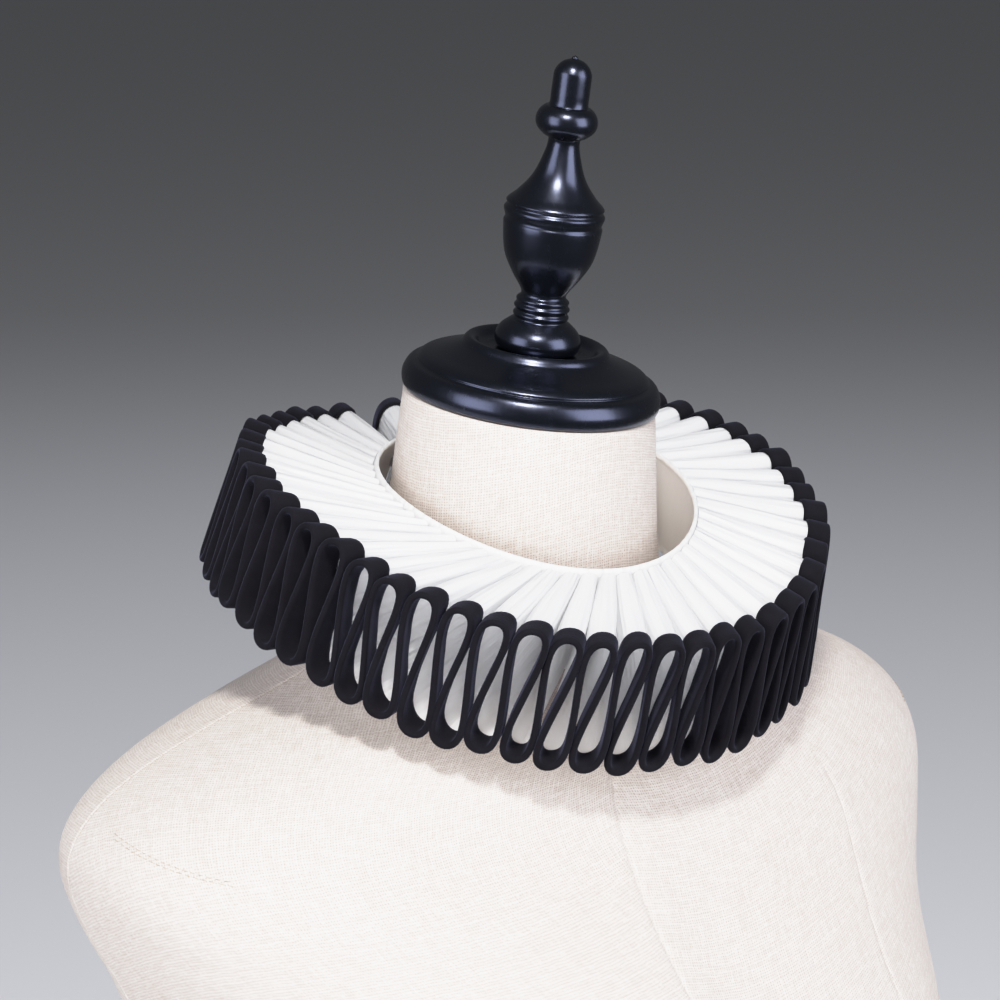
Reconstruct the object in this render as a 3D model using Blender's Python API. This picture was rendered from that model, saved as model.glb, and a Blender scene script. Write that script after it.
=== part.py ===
"""Detachable figure-eight ruff collar on a limbless dress form.

Metres, +Z up. The form faces -Y, the wearer's right is -X, and the form's flat underside is at z = 0.
The ruff is one long strip of white cloth with a velvet edge, folded up and down in figure-eight
pleats and sewn on edge round a standing neckband that opens at the centre back.
"""
import math

import bmesh
import bpy
from mathutils import Matrix, Vector

MM = 0.001
SEAM_GAP = 0.35 * MM

# Where the ruff sits: its centre, how far its front dips, and its plan.
RUFF_CENTRE = Vector((0.0, 0.0, 0.410))
RUFF_TILT = math.radians(17.4)
RUFF_TURN = math.radians(-1.3)
FRONT_TO_BACK = 0.93
SIDE_RISE = 6.0 * MM
END_SAG = 8.0 * MM
END_SAG_SPREAD = math.radians(26.0)

# The pleats: how many, over what angle, and the strip's height at either edge.
PLEATS = 51
BACK_OPENING = math.radians(5.5)
BAND_OPENING = math.radians(4.0)
POINTS_PER_PLEAT = 14
INNER_RADIUS = 67.5 * MM
OUTER_RADIUS = 123.0 * MM
BOTTOM_FLARE = 3.5 * MM
SIDE_FLARE = 4.0 * MM
INNER_BOTTOM_FLARE = 5.0 * MM
INNER_HEIGHT = 40.0 * MM
OUTER_HEIGHT = 52.3 * MM
INNER_TOP_RISE = 1.0 * MM
LOOP_SWELL = 0.245
LOOP_ROUND = 0.40
VELVET_WIDTH = 10.0 * MM
# The slanting ends of thick velvet need more room than a straight seam.
VELVET_GAP = 0.6 * MM
CLOTH_THICK = 1.0 * MM
VELVET_THICK = 2.0 * MM

# How far the bottom of a loop trails behind its top, in pleats, by the angle round the ruff.
# Angle 0 is the centre front and -90 is the wearer's right.
LOOP_LEAN = (
    # angle, lean
    (-180.0, 0.35),
    (-120.0, 0.45),
    (-75.0, 0.45),
    (-45.0, 0.05),
    (-25.0, -0.30),
    (20.0, -0.35),
    (60.0, -0.10),
    (120.0, 0.10),
    (180.0, 0.35),
)

# How far a loop's top lies from its even place, in pleats, and how far the edge is lifted, in
# millimetres, by the angle.
EDGE_SET = (
    # angle, top shift, lift
    (-180.0, 0.0, -3.0),
    (-150.0, 0.0, 0.0),
    (-112.0, 0.0, 4.0),
    (-80.0, -0.12, 4.5),
    (-60.0, -0.24, 1.6),
    (-30.0, -0.34, 1.4),
    (-12.0, -0.46, 1.2),
    (20.0, -0.50, 0.6),
    (45.0, -0.30, 0.0),
    (70.0, 0.0, 0.0),
    (180.0, 0.0, -3.0),
)

# The pleats don't stand straight out: their inner ends lie further round, in degrees, by the angle.
SWIRL = (
    # angle, swirl
    (-180.0, 24.0),
    (-140.0, 21.0),
    (-100.0, 18.0),
    (-50.0, 13.0),
    (0.0, 13.0),
    (45.0, 9.0),
    (75.0, 6.0),
    (110.0, 7.0),
    (150.0, 15.0),
    (180.0, 24.0),
)

# Neckband. The slanting pleat ends need more room than a straight seam.
PLEAT_END_GAP = 0.8 * MM
BAND_THICK = 1.2 * MM
BAND_PROUD = 1.5 * MM
BAND_STEPS = 84

# Hooks and bars of the back closure, as heights up the neckband from its foot.
CLOSURE_HEIGHTS = (("lower", 0.25), ("upper", 0.75))
WIRE = 0.9 * MM
HOOK_WIDTH = 3.6 * MM
CLOSURE_REACH = 4.2 * MM

# The neck: its axis leans forward, and a little to the wearer's left as in the photo.
NECK_TOP = Vector((0.0, 2.4 * MM, 39.0 * MM)) + RUFF_CENTRE
NECK_LEAN_FORWARD = math.radians(7.1)
NECK_LEAN_SIDE = math.radians(3.1)

# The form's cross-sections, from its foot up, in millimetres.
FORM_SECTIONS = (
    # height, half width, front, back, squareness
    (0, 133, -72, 113, 2.30),
    (45, 126, -76, 108, 2.25),
    (100, 136, -93, 112, 2.25),
    (155, 154, -115, 120, 2.30),
    (195, 166, -119, 124, 2.35),
    (232, 178, -108, 126, 2.40),
    (260, 192, -98, 124, 2.45),
    (284, 200, -88, 119, 2.45),
    (302, 196, -78, 111, 2.35),
    (318, 177, -69, 103, 2.25),
    (332, 143, -60, 94, 2.20),
    (344, 107, -51.3, 85, 2.10),
    (356, 79, -45.2, 75, 2.05),
    (370, 63, -42, 67, 2.00),
    (390, 57, -42, 62, 2.00),
)
FORM_STEPS_AROUND = 40
FORM_STEPS_UP = 25
NECK_TOP_RADIUS = 50.0 * MM
NECK_STEPS_UP = 3
BUST_RISE = 38.0 * MM
BUST_HEIGHT = 0.184
BUST_SPREAD_UP = 0.058
BUST_SIDE = 0.088
BUST_SPREAD_SIDE = 0.074
BUST_HOLLOW = 0.30

# Turned profiles of the black wood, as distance along the neck's axis and radius, in millimetres.
CAP_PROFILE = (
    # along, radius
    (0.0, 49.8),
    (1.0, 50.8),
    (3.5, 51.2),
    (6.0, 50.2),
    (8.2, 48.6),
    (9.2, 46.0),
    (10.2, 45.8),
    (12.0, 43.5),
    (14.2, 37.0),
    (17.4, 30.0),
    (19.6, 28.4),
    (20.6, 27.0),
    (20.2, 24.0),
    (19.4, 22.6),
)
FINIAL_PROFILE = (
    # along, radius
    (19.8, 14.0),
    (21.0, 16.0),
    (24.5, 17.0),
    (28.5, 15.6),
    (32.0, 12.0),
    (33.0, 10.6),
    (34.8, 11.0),
    (36.2, 10.2),
    (37.8, 11.0),
    (39.2, 10.0),
    (40.8, 10.4),
    (42.6, 8.6),
    (45.0, 9.4),
    (51.0, 14.0),
    (58.0, 17.6),
    (65.5, 19.4),
    (67.0, 18.9),
    (70.5, 19.8),
    (72.2, 18.8),
    (73.6, 19.2),
    (77.5, 15.4),
    (84.0, 10.6),
    (92.0, 7.6),
    (100.0, 6.0),
    (101.0, 8.6),
    (103.6, 11.4),
    (106.6, 12.1),
    (109.6, 11.0),
    (112.0, 7.8),
    (128.5, 7.2),
    (131.0, 5.9),
    (132.4, 3.4),
)
CAP_STEPS_AROUND = 40
FINIAL_STEPS_AROUND = 24

COLOURS = {
    # name: (sRGB colour, roughness)
    "white_cotton": ("#f2f3f6", 0.55),
    "black_velvet": ("#1b1a20", 0.95),
    "cream_linen": ("#eae4dd", 0.90),
    "black_lacquered_wood": ("#0b0c10", 0.18),
    "nickel_wire": ("#b9babd", 0.30),
}


def clear_scene():
    for thing in list(bpy.data.objects):
        bpy.data.objects.remove(thing, do_unlink=True)


def linear(hex_colour):
    """Turn an sRGB hex colour into Blender's linear RGBA."""
    values = [int(hex_colour[i:i + 2], 16) / 255 for i in (1, 3, 5)]
    return [v / 12.92 if v <= 0.04045 else ((v + 0.055) / 1.055) ** 2.4 for v in values] + [1.0]


def make_material(name):
    colour, roughness = COLOURS[name]
    material = bpy.data.materials.new(name)
    material.use_nodes = True
    shader = material.node_tree.nodes["Principled BSDF"]
    shader.inputs["Base Color"].default_value = linear(colour)
    shader.inputs["Roughness"].default_value = roughness
    shader.inputs["Metallic"].default_value = 1.0 if name == "nickel_wire" else 0.0
    return material


def add_object(name, mesh, material, smooth_angle=50.0):
    """Show a mesh as a named object with its material, shaded smooth up to an angle."""
    mesh.materials.append(material)
    thing = bpy.data.objects.new(name, mesh)
    bpy.context.collection.objects.link(thing)
    mesh.shade_smooth()
    mesh.set_sharp_from_angle(angle=math.radians(smooth_angle))
    return thing


def table_value(table, at, column):
    """Read a short table smoothly: a Hermite curve through its rows, flat past its ends."""
    keys = [row[0] for row in table]
    if at <= keys[0]:
        return table[0][column]
    if at >= keys[-1]:
        return table[-1][column]
    row = max(i for i, key in enumerate(keys) if key <= at)
    slopes = []
    for i in (row, row + 1):
        before, after = max(i - 1, 0), min(i + 1, len(table) - 1)
        slopes.append((table[after][column] - table[before][column]) / (keys[after] - keys[before]))
    span = keys[row + 1] - keys[row]
    t = (at - keys[row]) / span
    start = (2 * t ** 3 - 3 * t ** 2 + 1) * table[row][column] + (t ** 3 - 2 * t ** 2 + t) * span * slopes[0]
    end = (3 * t ** 2 - 2 * t ** 3) * table[row + 1][column] + (t ** 3 - t ** 2) * span * slopes[1]
    return start + end


def mix(a, b, share):
    return a + (b - a) * share


def ruff_point(angle, radius, height):
    """Place a point of the ruff. Angle 0 is the centre front, positive to the wearer's left."""
    side_rise = -SIDE_RISE * math.cos(2 * angle) * radius / OUTER_RADIUS
    local = Vector((radius * math.sin(angle), -radius * FRONT_TO_BACK * math.cos(angle), height + side_rise))
    return Matrix.Rotation(RUFF_TILT, 4, "X") @ local + RUFF_CENTRE


def hand_set(turn, seed):
    """The unevenness of pleats set by hand: a smooth value between -1 and 1 along the strip."""
    return 0.6 * math.sin(2.17 * turn + seed) + 0.4 * math.sin(4.93 * turn + 2.3 * seed)


def swirl_at(angle):
    """How much further round the ruff a pleat's inner end lies than its outer end."""
    turned = (math.degrees(angle) + 180.0) % 360.0 - 180.0
    return math.radians(table_value(SWIRL, turned, 1))


def pleat_edge(turn, radius, outer):
    """A point on the folded strip's inner edge, outer 0, or its outer edge, outer 1."""
    up = math.cos(2 * math.pi * turn)
    up = mix(up, math.sin(math.pi / 2 * up), LOOP_ROUND)
    drop = (1 - up) / 2
    step = (2 * math.pi - BACK_OPENING) / PLEATS
    start = RUFF_TURN - math.pi + BACK_OPENING / 2
    here = start + (turn + 0.5) * step
    lean = table_value(LOOP_LEAN, math.degrees(here), 1)
    shift = table_value(EDGE_SET, math.degrees(here), 1)
    lift = table_value(EDGE_SET, math.degrees(here), 2) * MM
    along = turn + LOOP_SWELL * math.sin(4 * math.pi * turn) + (lean - 0.5) * drop + shift * (1 - drop)
    along += 0.05 * hand_set(turn, 1.0) * outer
    flare = mix(INNER_BOTTOM_FLARE, BOTTOM_FLARE + SIDE_FLARE * math.sin(here) ** 2, outer)
    from_opening = min(here - start, PLEATS * step - (here - start))
    sag = END_SAG * math.exp(-(from_opening / END_SAG_SPREAD) ** 2)
    tall = mix(INNER_HEIGHT, OUTER_HEIGHT + 1.2 * MM * hand_set(turn, 7.0), outer)
    top = mix(INNER_TOP_RISE, lift + 0.8 * MM * hand_set(turn, 9.0) - sag, outer)
    out = radius + flare * drop + 1.0 * MM * hand_set(turn, 4.0) * outer
    swirl = (1 - outer) * swirl_at(here)
    return ruff_point(start + (along + 0.5) * step + swirl, out, top - tall * drop)


def pleat_point(turn, across):
    """A point of the folded strip. Turn counts pleats, whole at each top loop, and across runs
    straight from the neckband, 0, to the velvet's outer edge, 1."""
    inner = pleat_edge(turn, INNER_RADIUS, 0.0)
    return inner.lerp(pleat_edge(turn, OUTER_RADIUS, 1.0), across)


def cloth_sheet(name, rows, thickness, material):
    """Join rows of points into one sheet and give it its thickness, half to either side."""
    shape = bmesh.new()
    lines = [[shape.verts.new(point) for point in row] for row in rows]
    for line, following in zip(lines, lines[1:]):
        for a, b, c, d in zip(line, line[1:], following[1:], following):
            shape.faces.new((a, b, c))
            shape.faces.new((a, c, d))
    mesh = bpy.data.meshes.new(name)
    shape.to_mesh(mesh)
    shape.free()
    sheet = add_object(name, mesh, material)
    wall = sheet.modifiers.new("thickness", "SOLIDIFY")
    wall.thickness = thickness
    wall.offset = 0.0
    wall.use_even_offset = True
    return sheet


def make_ruffle(cotton, velvet):
    """The pleated strip: white cloth from the neckband to the velvet, then the velvet edge."""
    width = OUTER_RADIUS - INNER_RADIUS
    cloth_end = 1 - VELVET_WIDTH / width
    # Half a step off the loops' middles, so that each loop has a flat top and not a point.
    stations = [(i + 0.5) / POINTS_PER_PLEAT - 0.5 for i in range(PLEATS * POINTS_PER_PLEAT)]
    cloth = [[pleat_point(turn, across) for across in (0.0, cloth_end)] for turn in stations]
    edge = [[pleat_point(turn, across) for across in (cloth_end + VELVET_GAP / width, 1.0)] for turn in stations]
    cloth_sheet("ruffle_cloth", cloth, CLOTH_THICK, cotton)
    cloth_sheet("velvet_edge", edge, VELVET_THICK, velvet)


def band_opening_angle():
    return RUFF_TURN - math.pi + swirl_at(-math.pi)


def band_point(angle, up):
    """A point on the middle of the neckband's wall. Up runs from its foot, 0, to its top edge, 1."""
    clear = PLEAT_END_GAP + BAND_THICK / 2
    radius = INNER_RADIUS - clear + INNER_BOTTOM_FLARE * (1 - up)
    return ruff_point(angle, radius, mix(INNER_TOP_RISE - INNER_HEIGHT, INNER_TOP_RISE + BAND_PROUD, up))


def make_neckband(cotton):
    start = band_opening_angle() + BAND_OPENING / 2
    sweep = 2 * math.pi - BAND_OPENING
    angles = [start + sweep * i / BAND_STEPS for i in range(BAND_STEPS + 1)]
    cloth_sheet("neckband", [[band_point(a, 0.0), band_point(a, 1.0)] for a in angles], BAND_THICK, cotton)


def smooth_section(height):
    """The form's outline at a height: half width, front, back and squareness, in metres."""
    row = [table_value(FORM_SECTIONS, height / MM, column) for column in (1, 2, 3, 4)]
    return row[0] * MM, row[1] * MM, row[2] * MM, row[3]


def form_point(height, turn):
    """A point on the form's skin. Turn 0 is the centre front."""
    half_width, front, back, squareness = smooth_section(height)
    middle = (front + back) / 2
    depth = (back - front) / 2
    side, ahead = math.sin(turn), math.cos(turn)
    x = half_width * math.copysign(abs(side) ** (2 / squareness), side)
    y = middle - depth * math.copysign(abs(ahead) ** (2 / squareness), ahead)
    up = math.exp(-((height - BUST_HEIGHT) / BUST_SPREAD_UP) ** 2)
    inside = max(1 - abs(x) / BUST_SIDE, 0.0)
    outside = max(abs(x) - BUST_SIDE, 0.0) / BUST_SPREAD_SIDE
    beside = math.exp(-outside ** 2) - BUST_HOLLOW * inside ** 2
    y -= BUST_RISE * up * beside * max(ahead, 0.0)
    return Vector((x, y, height))


def neck_axis():
    """The neck's own frame: its Z runs up the leaning neck, with its origin at the neck's top."""
    lean = Matrix.Rotation(NECK_LEAN_SIDE, 4, "Y") @ Matrix.Rotation(NECK_LEAN_FORWARD, 4, "X")
    return Matrix.Translation(NECK_TOP) @ lean


def make_form(linen):
    """The padded form: sections from the foot to the neck's root, then the leaning neck."""
    shape = bmesh.new()
    turns = [2 * math.pi * i / FORM_STEPS_AROUND for i in range(FORM_STEPS_AROUND)]
    low, high = FORM_SECTIONS[0][0] * MM, FORM_SECTIONS[-1][0] * MM
    rings = []
    for i in range(FORM_STEPS_UP + 1):
        height = low + (high - low) * (i / FORM_STEPS_UP) ** 0.75
        rings.append([form_point(height, turn) for turn in turns])
    root = rings[-1]
    for i in range(1, NECK_STEPS_UP + 1):
        share = i / NECK_STEPS_UP
        ring = []
        for turn, foot in zip(turns, root):
            top = neck_axis() @ Vector((NECK_TOP_RADIUS * math.sin(turn), -NECK_TOP_RADIUS * math.cos(turn), 0.0))
            ring.append(foot.lerp(top, share))
        rings.append(ring)
    lines = [[shape.verts.new(point) for point in ring] for ring in rings]
    for line, following in zip(lines, lines[1:]):
        for i, a in enumerate(line):
            j = (i + 1) % len(line)
            shape.faces.new((a, line[j], following[j], following[i]))
    shape.faces.new(reversed(lines[0]))
    shape.faces.new(lines[-1])
    mesh = bpy.data.meshes.new("form_body")
    shape.to_mesh(mesh)
    shape.free()
    add_object("form_body", mesh, linen)


def turned_piece(name, profile, steps, lift, wood):
    """Turn a profile about the neck's axis, closed with a flat foot and a flat top."""
    shape = bmesh.new()
    rings = []
    for along, radius in profile:
        ring = []
        for i in range(steps):
            turn = 2 * math.pi * i / steps
            ring.append(shape.verts.new((radius * MM * math.cos(turn), radius * MM * math.sin(turn), along * MM)))
        rings.append(ring)
    for ring, following in zip(rings, rings[1:]):
        for i, a in enumerate(ring):
            j = (i + 1) % steps
            shape.faces.new((a, ring[j], following[j], following[i]))
    shape.faces.new(reversed(rings[0]))
    shape.faces.new(rings[-1])
    mesh = bpy.data.meshes.new(name)
    shape.to_mesh(mesh)
    shape.free()
    piece = add_object(name, mesh, wood, smooth_angle=35.0)
    piece.matrix_world = neck_axis() @ Matrix.Translation((0, 0, lift))
    return piece


def closure_frame(up):
    """A frame on the neckband's inner face at its opening: X round the band, Y inward, Z up it."""
    angle = band_opening_angle()
    middle = band_point(angle, up)
    along = (band_point(angle + 0.02, up) - band_point(angle - 0.02, up)).normalized()
    rise = (band_point(angle, up + 0.1) - band_point(angle, up - 0.1)).normalized()
    inward = rise.cross(along).normalized()
    frame = Matrix((along, inward, rise)).transposed().to_4x4()
    frame.translation = middle + inward * (BAND_THICK / 2 + SEAM_GAP)
    return frame


def bent_strip(name, outline, width, metal, frame):
    """A flat metal strip bent to an outline, seen from above, and as wide as given."""
    shape = bmesh.new()
    low = [shape.verts.new((x, y, -width / 2)) for x, y in outline]
    face = shape.faces.new(low)
    raised = bmesh.ops.extrude_face_region(shape, geom=[face])
    top = [item for item in raised["geom"] if isinstance(item, bmesh.types.BMVert)]
    bmesh.ops.translate(shape, verts=top, vec=(0, 0, width))
    bmesh.ops.recalc_face_normals(shape, faces=shape.faces)
    mesh = bpy.data.meshes.new(name)
    shape.to_mesh(mesh)
    shape.free()
    piece = add_object(name, mesh, metal, smooth_angle=30.0)
    piece.matrix_world = frame


def make_closure(metal):
    """Two flat hooks on one end of the neckband, each caught behind a bar on the other end."""
    reach, bend = CLOSURE_REACH, 2.4 * MM
    hook = (
        (reach, 0.0),
        (reach, WIRE),
        (-bend + WIRE, WIRE),
        (-bend + WIRE, 2.4 * WIRE),
        (-bend, 2.4 * WIRE),
        (-bend, 0.0),
    )
    bar = (
        (-reach - WIRE, 0.0),
        (-reach - WIRE, WIRE * 2.2),
        (-bend - SEAM_GAP, WIRE * 2.2),
        (-bend - SEAM_GAP, WIRE * 1.2),
        (-reach, WIRE * 1.2),
        (-reach, 0.0),
    )
    for place, up in CLOSURE_HEIGHTS:
        frame = closure_frame(up)
        bent_strip("hook_" + place, hook, HOOK_WIDTH, metal, frame)
        bent_strip("bar_" + place, bar, HOOK_WIDTH, metal, frame)


clear_scene()
materials = {name: make_material(name) for name in COLOURS}
make_ruffle(materials["white_cotton"], materials["black_velvet"])
make_neckband(materials["white_cotton"])
make_closure(materials["nickel_wire"])
make_form(materials["cream_linen"])
turned_piece("neck_cap", CAP_PROFILE, CAP_STEPS_AROUND, SEAM_GAP, materials["black_lacquered_wood"])
turned_piece("finial", FINIAL_PROFILE, FINIAL_STEPS_AROUND, 2 * SEAM_GAP, materials["black_lacquered_wood"])
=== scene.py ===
"""The detachable ruff collar on its dress form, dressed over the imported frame.

Metres, +Z up, in the frame's own axes: the form faces -Y and the wearer's right is -X.
"""
import math

import bpy
import numpy as np
from mathutils import Matrix, Vector


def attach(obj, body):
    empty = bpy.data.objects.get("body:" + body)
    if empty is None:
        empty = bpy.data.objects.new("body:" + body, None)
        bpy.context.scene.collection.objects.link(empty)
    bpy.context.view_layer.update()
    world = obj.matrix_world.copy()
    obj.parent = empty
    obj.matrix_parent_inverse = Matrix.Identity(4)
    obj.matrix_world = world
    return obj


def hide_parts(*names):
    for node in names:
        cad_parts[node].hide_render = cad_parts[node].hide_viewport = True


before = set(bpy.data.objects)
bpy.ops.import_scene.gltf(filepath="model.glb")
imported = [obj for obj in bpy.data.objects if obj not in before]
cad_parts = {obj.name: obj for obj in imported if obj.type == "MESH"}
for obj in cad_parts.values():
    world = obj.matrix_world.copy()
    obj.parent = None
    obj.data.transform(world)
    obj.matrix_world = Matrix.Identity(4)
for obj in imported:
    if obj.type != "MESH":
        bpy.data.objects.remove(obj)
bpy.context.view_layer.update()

MM = 0.001

# Where the ruff sits and how it is pleated, as in the frame.
RUFF_CENTRE = Vector((0.0, 0.0, 0.410))
RUFF_TILT = math.radians(17.4)
RUFF_TURN = math.radians(-1.3)
FRONT_TO_BACK = 0.93
SIDE_RISE = 6.0 * MM
END_SAG = 8.0 * MM
END_SAG_SPREAD = math.radians(26.0)
PLEATS = 51
BACK_OPENING = math.radians(5.5)
BAND_OPENING = math.radians(4.0)
INNER_RADIUS = 67.5 * MM
OUTER_RADIUS = 123.0 * MM
BOTTOM_FLARE = 3.5 * MM
SIDE_FLARE = 4.0 * MM
INNER_BOTTOM_FLARE = 5.0 * MM
INNER_HEIGHT = 40.0 * MM
OUTER_HEIGHT = 52.3 * MM
INNER_TOP_RISE = 1.0 * MM
LOOP_SWELL = 0.245
LOOP_ROUND = 0.40
VELVET_WIDTH = 10.0 * MM
PLEAT_END_GAP = 0.8 * MM
BAND_THICK = 1.2 * MM
BAND_PROUD = 1.5 * MM
LOOP_LEAN = (
    # angle in degrees, lean in pleats
    (-180.0, 0.35),
    (-120.0, 0.45),
    (-75.0, 0.45),
    (-45.0, 0.05),
    (-25.0, -0.30),
    (20.0, -0.35),
    (60.0, -0.10),
    (120.0, 0.10),
    (180.0, 0.35),
)
EDGE_SET = (
    # angle in degrees, top shift in pleats, lift in mm
    (-180.0, 0.0, -3.0),
    (-150.0, 0.0, 0.0),
    (-112.0, 0.0, 4.0),
    (-80.0, -0.12, 4.5),
    (-60.0, -0.24, 1.6),
    (-30.0, -0.34, 1.4),
    (-12.0, -0.46, 1.2),
    (20.0, -0.50, 0.6),
    (45.0, -0.30, 0.0),
    (70.0, 0.0, 0.0),
    (180.0, 0.0, -3.0),
)
SWIRL = (
    # angle, swirl, both in degrees
    (-180.0, 24.0),
    (-140.0, 21.0),
    (-100.0, 18.0),
    (-50.0, 13.0),
    (0.0, 13.0),
    (45.0, 9.0),
    (75.0, 6.0),
    (110.0, 7.0),
    (150.0, 15.0),
    (180.0, 24.0),
)

PLEAT_STEP = (2 * math.pi - BACK_OPENING) / PLEATS
RUFF_START = RUFF_TURN - math.pi + BACK_OPENING / 2

# The unevenness of pleats set by hand: how far each size strays, and where its wave starts.
STRAY_ALONG = (0.05, 1.0)
STRAY_OUT = (1.0 * MM, 4.0)
STRAY_TALL = (1.2 * MM, 7.0)
STRAY_TOP = (0.8 * MM, 9.0)

# What only this scene gives the ruff, down to the sway of the walls.
INNER_SWELL = 0.33
TOP_SPREAD = 1.0 * MM

# How far each pleat's top tips, so that its side nearer the front stands higher, like shingles.
TOP_TIP = (
    # angle in degrees, tip in mm
    (-180.0, 0.0),
    (-150.0, 3.2),
    (-90.0, 4.0),
    (-60.0, 2.2),
    (-30.0, 0.5),
    (20.0, 0.0),
    (45.0, -0.8),
    (75.0, -2.4),
    (130.0, -3.0),
    (180.0, 0.0),
)
TIP_AT_VELVET = 0.4

# How flat the pleats' tops lie at the neckband: broad bands in front, round ridges at the sides.
TOP_FLATNESS = (
    # angle in degrees, share
    (-180.0, 0.30),
    (-120.0, 0.10),
    (-85.0, 0.25),
    (-50.0, 0.80),
    (-20.0, 0.95),
    (30.0, 0.95),
    (60.0, 0.60),
    (95.0, 0.15),
    (180.0, 0.30),
)

# Where the walls of the loops leave the velvet straighter than the pleats' tops do.
WALL_SWAY = (
    # angle in degrees, sway in mm, of which 0.15 at most is left as it fades towards both edges
    (-82.0, 0.0),
    (-78.0, 8.0),
    (-74.0, 36.0),
    (-68.0, 38.0),
    (-61.0, 34.0),
    (-54.0, 28.0),
    (-48.0, 22.0),
    (-41.0, 15.0),
    (-30.0, 7.0),
    (-20.0, 0.0),
    (-14.0, -6.0),
    (-8.0, -14.0),
    (-2.0, -18.0),
    (4.0, -16.0),
    (12.0, -6.0),
    (20.0, 0.0),
)

# How finely the cloth is drawn, how thick the folded velvet is, and the band's width and hem.
POINTS_PER_PLEAT = 44
CLOTH_STEPS = 16
VELVET_THICK = 2.7 * MM
VELVET_BEND_STEPS = 8
BAND_COLUMNS = 240
BAND_FLAT_WIDTH = 0.085
BAND_HEM = 3.0 * MM

# The neck, set to the photo a little more finely than in the frame.
NECK_TOP = Vector((-1.2 * MM, 2.4 * MM, 39.4 * MM)) + RUFF_CENTRE
NECK_LEAN_FORWARD = math.radians(7.1)
NECK_LEAN_SIDE = math.radians(3.7)
NECK_TOP_RADIUS = 50.0 * MM
CAP_LIP = 1.8 * MM

# The padded form, as in the frame.
FORM_SECTIONS = (
    # height, half width, front, back, squareness
    (0, 133, -72, 113, 2.30),
    (45, 126, -76, 108, 2.25),
    (100, 136, -93, 112, 2.25),
    (155, 154, -115, 120, 2.30),
    (195, 166, -119, 124, 2.35),
    (232, 178, -108, 126, 2.40),
    (260, 192, -98, 124, 2.45),
    (284, 200, -88, 119, 2.45),
    (302, 196, -78, 111, 2.35),
    (318, 177, -69, 103, 2.25),
    (332, 143, -60, 94, 2.20),
    (344, 107, -51.3, 85, 2.10),
    (356, 79, -45.2, 75, 2.05),
    (370, 63, -42, 67, 2.00),
    (390, 57, -42, 62, 2.00),
)
BUST_RISE = 38.0 * MM
BUST_HEIGHT = 0.184
BUST_SPREAD_UP = 0.058
BUST_SIDE = 0.088
BUST_SPREAD_SIDE = 0.074
BUST_HOLLOW = 0.30

# How finely the cover is drawn, with more columns at its seams, and how its foot is finished.
FORM_STEPS_AROUND = 240
FORM_STEPS_UP = 150
FORM_STEPS_CLOSER = 0.85
NECK_STEPS_UP = 24
SEAM_CLEAR = 1.3
SEAM_COLUMNS = (-1.2, -0.7, -0.4, -0.2, -0.1, 0.0, 0.1, 0.2, 0.4, 0.7, 1.2)
HEM_HEIGHT = 9.0 * MM
HEM_DIP = 0.5 * MM
HEM_DIP_SPREAD = 0.9 * MM
FOOT_EDGE_RISE = 1.5 * MM
FOOT_TURNED_IN = (
    # share of the way out to the foot's edge, rise in mm
    (0.0, 1.2),
    (0.5, 1.2),
    (0.90, 1.2),
    (0.93, 0.4),
    (0.97, 0.0),
    (0.985, 0.0),
    (0.995, 0.5),
)
NECK_CLOSED = (0.98, 0.5, 0.0)

# The cover's seams, in mm: the dip, the ridges beside it and how far a seam takes to fade out.
SEAM_DIP = 0.55
SEAM_DIP_SPREAD = 0.5
SEAM_RIDGE = 0.22
SEAM_RIDGE_AT = 2.6
SEAM_RIDGE_SPREAD = 1.6
SEAM_FADE = 8
SEAMS = (
    # turn in degrees, lowest and highest point in mm
    (-5.5, 2.0, 352.0),
    (22.0, 2.0, 300.0),
    (100.0, 2.0, 356.0),
    (180.0, 2.0, 446.0),
    (-180.0, 2.0, 446.0),
    (-100.0, 2.0, 356.0),
)
PANELS_TOP = 352.0 * MM
PANELS = (
    # from, to, the grain's turn in degrees
    (-180.1, -100.0, 0.0),
    (-100.0, -5.5, -24.0),
    (-5.5, 22.0, 3.0),
    (22.0, 100.0, 0.0),
    (100.0, 180.1, 0.0),
)
STITCH_ROWS = (
    # turn and height of both ends, and the stitches' pitch in mm
    ((-90.0, 306.5), (-61.0, 298.0), 3.2),
    ((-89.2, 305.0), (-60.2, 296.6), 3.2),
    ((90.0, 306.5), (61.0, 298.0), 3.2),
    ((89.2, 305.0), (60.2, 296.6), 3.2),
    ((-99.2, 346.0), (-99.2, 300.0), 2.4),
    ((99.2, 346.0), (99.2, 300.0), 2.4),
)
HEM_STITCH_STEP = 1.2
STITCH_SIDES = 6
STITCH_PROFILE = (
    # share of the pitch, rise and thickness in mm
    (0.0, -0.25, 0.12),
    (0.12, 0.05, 0.2),
    (0.35, 0.12, 0.22),
    (0.58, 0.05, 0.2),
    (0.7, -0.25, 0.12),
)

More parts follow.
